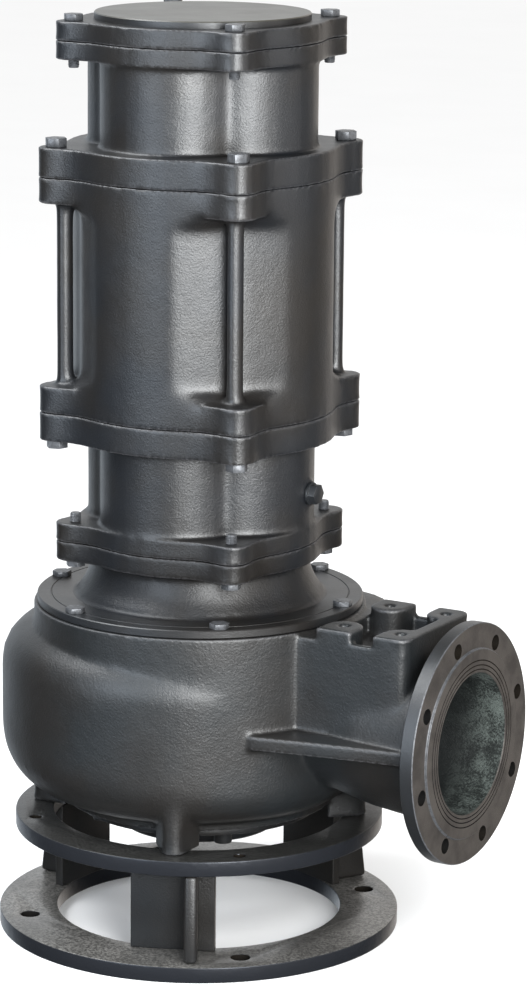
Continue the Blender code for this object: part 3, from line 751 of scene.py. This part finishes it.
def makeRings():
    for name, look in rings.items():
        low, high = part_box(look["node"])
        radius = (high.x - low.x) / 2
        ring = drum(name, radius, low.z, high.z, 180)
        below, above = low.z - 0.01, high.z + 0.01
        tools = [drum("tool", look["bore"], below, above, 144)]
        for corner in (45, 135, 225, 315):
            turn = radians(corner)
            spot = (look["circle"] * cos(turn), look["circle"] * sin(turn))
            tools.append(drum("tool", look["hole"], below, above, 32, spot))
        carved(ring, tools)
        ring.location = axis
        joined(name, [ring])
        edged(ring, plateEdges["ring"], 3)
        shown(ring, paints[look["paint"]], "ring_paint", look["node"])
        # Bolt-hole walls are painted near-black: painted shade
        ring.data.materials.append(paints["hole"])
        for face in ring.data.polygons:
            away = (face.center - axis).xy.length
            if abs(away - look["circle"]) < look["hole"] and abs(face.normal.z) < 0.3:
                face.material_index = 1


def makeLegs():
    for i in (1, 2, 3):
        plate = nodeCopy(f"leg_plate_{i}", f"legPlate{i}")
        shown(edged(plate, plateEdges["leg"], 3), paints["leg"], "ring_paint", f"leg_plate_{i}")
        rib = nodeCopy(f"leg_rib_{i}", f"legRib{i}")
        take(rib)
        bpy.ops.object.shade_smooth_by_angle(angle=radians(40))
        shown(rib, paints["leg"], "ring_paint", f"leg_rib_{i}")


# Bolts

boltKinds = {
    "lid": {"across": 0.0240, "head": 0.0090},
    "big": {"across": 0.0270, "head": 0.0120},
    "low": {"across": 0.0240, "head": 0.0100},
    "cover": {"across": 0.0240, "head": 0.0075},
}
hexLook = {"corner": 0.60, "chamfer": 0.045, "edge": 0.0003}      # the first two as shares of the width
studLook = {"radius": 0.0080, "pitch": 0.0020, "depth": 0.0010, "length": 0.0120, "tip": 0.0016}


def hexHead(kind):
    # Hexagon head with its top corners turned off
    across, tall = boltKinds[kind]["across"], boltKinds[kind]["head"]
    head = drum("hexHead", across / sqrt(3), 0, tall, 6)
    chamfer, wide = across * hexLook["chamfer"], across * hexLook["corner"]
    cap = lathe("cap", [(0, -0.001), (wide, -0.001), (wide, tall - chamfer * 0.75), (wide - chamfer, tall),
                        (0, tall)], 36)
    carved(head, [cap], "INTERSECT")
    return edged(head, hexLook["edge"], 1, 25)


def studEnd():
    # Short threaded end, as rings of thread
    look = studLook
    radius, pitch, length = look["radius"], look["pitch"], look["length"]
    profile = [(0, -0.002), (radius, -0.002)]
    height = 0.0
    while height < length - pitch:
        profile += [(radius, height), (radius - look["depth"], height + pitch / 2)]
        height += pitch
    profile += [(radius - 0.0004, height), (radius - look["tip"], length), (0, length)]
    return lathe("stud", profile, 24)


# Each joint: pattern, bolt circle, seat height, first angle, count, pointing down
boltJoints = {
    "lidBolts": ("lid", 0.1830, 1.3083, 45, 4, False),
    "lidBoltEnds": ("end", 0.1830, 1.2549, 45, 4, True),
    "motorTopBolts": ("big", 0.2080, 1.1346, 45, 4, False),
    "motorFootBolts": ("big", 0.2080, 0.7213, 45, 4, True),
    "sealFootBolts": ("low", 0.1820, 0.5467, 45, 4, True),
    "sealFootEnds": ("end", 0.1820, 0.6019, 45, 4, False),
    "coverBolts": ("cover", 0.2185, 0.4906, -51.6, 6, False),
}


def makeBolts():
    for name, (kind, circle, height, first, count, down) in boltJoints.items():
        pattern = studEnd() if kind == "end" else hexHead(kind)
        places = [about(circle, first + 360 * i / count, height, down) for i in range(count)]
        slot = "casing_paint" if kind == "cover" else "housing_paint"
        shown(stamped(name, pattern, places), paints["bolt"], slot)


# Small nodes that keep their own shape: name, finish, slot and width of the broken edges

smallNodes = {
    "oil_plug": ("oilPlug", "plain", "housing_paint", 0.0006),
    "cable_gland_power": ("powerGland", "iron", "machined_iron", 0.0008),
    "cable_gland_control": ("controlGland", "iron", "machined_iron", 0.0008),
    "suction_cover": ("suctionCover", "plain", "casing_paint", 0.0020),
    "wear_plate": ("wearPlate", "iron", "machined_iron", 0.0010),
    "cutter_ring": ("cutterRing", "iron", "machined_iron", 0.0005),
    "cutter_head": ("cutterHead", "steel", "bright_steel", 0.0008),
    "impeller": ("impellerWheel", "iron", "machined_iron", 0.0015),
    "shaft": ("pumpShaft", "steel", "bright_steel", 0.0010),
}


def makeSmallPieces():
    for node, (name, paint, slot, edge) in smallNodes.items():
        piece = edged(nodeCopy(node, name), edge)
        shown(piece, paints[paint], slot, node)


makeUpperCastings()
print("motor and housings made")
makeCasing()
makeCover()
makeLid()
print("casing, cover and lid made")
makeFlange()
makeRings()
makeLegs()
print("stand and flange made")
makeBolts()
makeSmallPieces()
print("bolts and small pieces made")


# Camera, floor and light

cameraLook = {
    "turn": 31.45,          # degrees round the pump, from -Y towards +X
    "distance": 5.34218,
    "height": 1.82643,
    "pitch": 12.58,
    "yaw": -0.96,
    "roll": 0.48,
    "lens": 140.34,
    "sensor": 36,
}


def makeCamera():
    look = cameraLook
    turn = radians(look["turn"])
    place = axis + Vector((sin(turn) * look["distance"], -cos(turn) * look["distance"], look["height"]))
    heading = turn + radians(look["yaw"])
    pitch, roll = radians(look["pitch"]), radians(look["roll"])
    ahead = Vector((-sin(heading) * cos(pitch), cos(heading) * cos(pitch), -sin(pitch)))
    right = ahead.cross(Vector((0, 0, 1))).normalized()
    up = right.cross(ahead)
    across = right * cos(roll) + up * sin(roll)
    above = up * cos(roll) - right * sin(roll)
    data = bpy.data.cameras.new("camera")
    data.lens = look["lens"]
    data.sensor_width = look["sensor"]
    data.clip_end = 200
    camera = bpy.data.objects.new("camera", data)
    bpy.context.scene.collection.objects.link(camera)
    turned = Matrix((across, above, -ahead)).transposed().to_4x4()
    camera.matrix_world = Matrix.Translation(place) @ turned
    bpy.context.scene.camera = camera


lamps = {                   # turn from the camera, distance, height, size, power, colour
    "keySoftbox": (15, 3.0, 1.4, (1.2, 2.1), 167, (0.97, 0.99, 1.0)),
    "fillSoftbox": (42, 3.2, 1.4, (1.4, 2.1), 32, (1.0, 0.98, 0.96)),
    "leftSoftbox": (-40, 3.2, 1.4, (1.8, 2.1), 60, (0.80, 0.89, 1.0)),
    "topSoftbox": (-85, 1.7, 3.1, (1.8, 1.8), 88, (0.94, 0.97, 1.0)),
    "rightSoftbox": (82, 3.2, 1.2, (1.4, 2.1), 12, (1.0, 0.96, 0.92)),
}
studio = {
    "aim": 0.65,            # height that the lamps point at
    "dullLight": 1.0,       # what the floor and other dull surfaces see all round
    "front": 0.06,          # what glossy surfaces see before the pump, at the sides and behind
    "side": 0.012,
    "backdrop": 1.10,
    "edges": (0.45, 0.92),  # how the backdrop fades, as the cosine of the angle off its middle
    "sides": (-0.7, 0.7),   # where its colour turns from cool to warm, left to right
    "cool": (0.80, 0.90, 1.0),
    "warm": (1.0, 0.92, 0.84),
}


def makeLight():
    target = axis + Vector((0, 0, studio["aim"]))
    for name, (turn, distance, height, size, power, colour) in lamps.items():
        data = bpy.data.lights.new(name, "AREA")
        data.shape = "RECTANGLE"
        data.size, data.size_y = size
        data.energy = power
        data.color = colour
        lamp = bpy.data.objects.new(name, data)
        bpy.context.scene.collection.objects.link(lamp)
        heading = radians(cameraLook["turn"] + turn)
        lamp.location = axis + Vector((sin(heading) * distance, -cos(heading) * distance, height))
        lamp.rotation_euler = (target - lamp.location).to_track_quat("-Z", "Y").to_euler()
        lamp.visible_camera = False
    makeWorld()


def makeWorld():
    # White to the eye and to the floor, but glossy surfaces see a pale backdrop in a dim room
    world = bpy.data.worlds.new("studio")
    world.use_nodes = True
    world.cycles.sampling_method = "NONE"
    room = Shade(world.node_tree)
    turn = radians(cameraLook["turn"])
    way = room.node("ShaderNodeTexCoord", out="Generated")
    ahead = room.node("ShaderNodeVectorMath", {0: way, 1: (sin(turn), -cos(turn), 0)}, out="Value",
                      operation="DOT_PRODUCT")
    right = room.node("ShaderNodeVectorMath", {0: way, 1: (cos(turn), sin(turn), 0)}, out="Value",
                      operation="DOT_PRODUCT")
    glossy = room.node("ShaderNodeLightPath", out="Is Glossy Ray")
    front = room.steps(ahead, 0.0, 1.0) * (studio["front"] - studio["side"])
    behind = room.steps(ahead * -1, *studio["edges"]) * (studio["backdrop"] - studio["side"])
    seen = front + behind + studio["side"]
    tint = room.blend(room.steps(right, *studio["sides"]), studio["cool"], studio["warm"])
    colour = room.blend(glossy, (1, 1, 1), tint)
    strength = studio["dullLight"] + glossy * (seen - studio["dullLight"])
    background = world.node_tree.nodes["Background"]
    world.node_tree.links.new(colour.socket, background.inputs["Color"])
    world.node_tree.links.new(strength.socket, background.inputs["Strength"])
    bpy.context.scene.world = world


floorLook = {
    "size": 60,
    "sink": 0.0005,         # just under the pump, so that the two don't share a plane
    "cloud": 0.4,
    "dark": (0.92, 0.92, 0.92),
    "pale": (0.95, 0.95, 0.95),
}


def makeFloor():
    # A pale floor that the paint doesn't mirror
    look = floorLook
    bpy.ops.object.select_all(action="DESELECT")
    bpy.ops.mesh.primitive_plane_add(size=look["size"], location=(0, 0, -look["sink"]))
    floor = bpy.context.object
    floor.name = "floor"
    floor.visible_glossy = False
    pale = Finish("pale_floor")
    shade = pale.blend(pale.noise(look["cloud"], 3), look["dark"], look["pale"])
    floor.data.materials.append(pale.finish(Base_Color=shade, Roughness=0.9, Specular_IOR_Level=0.0))


makeCamera()
makeLight()
makeFloor()
bpy.context.scene.view_settings.view_transform = "Standard"
print("camera, light and floor made")
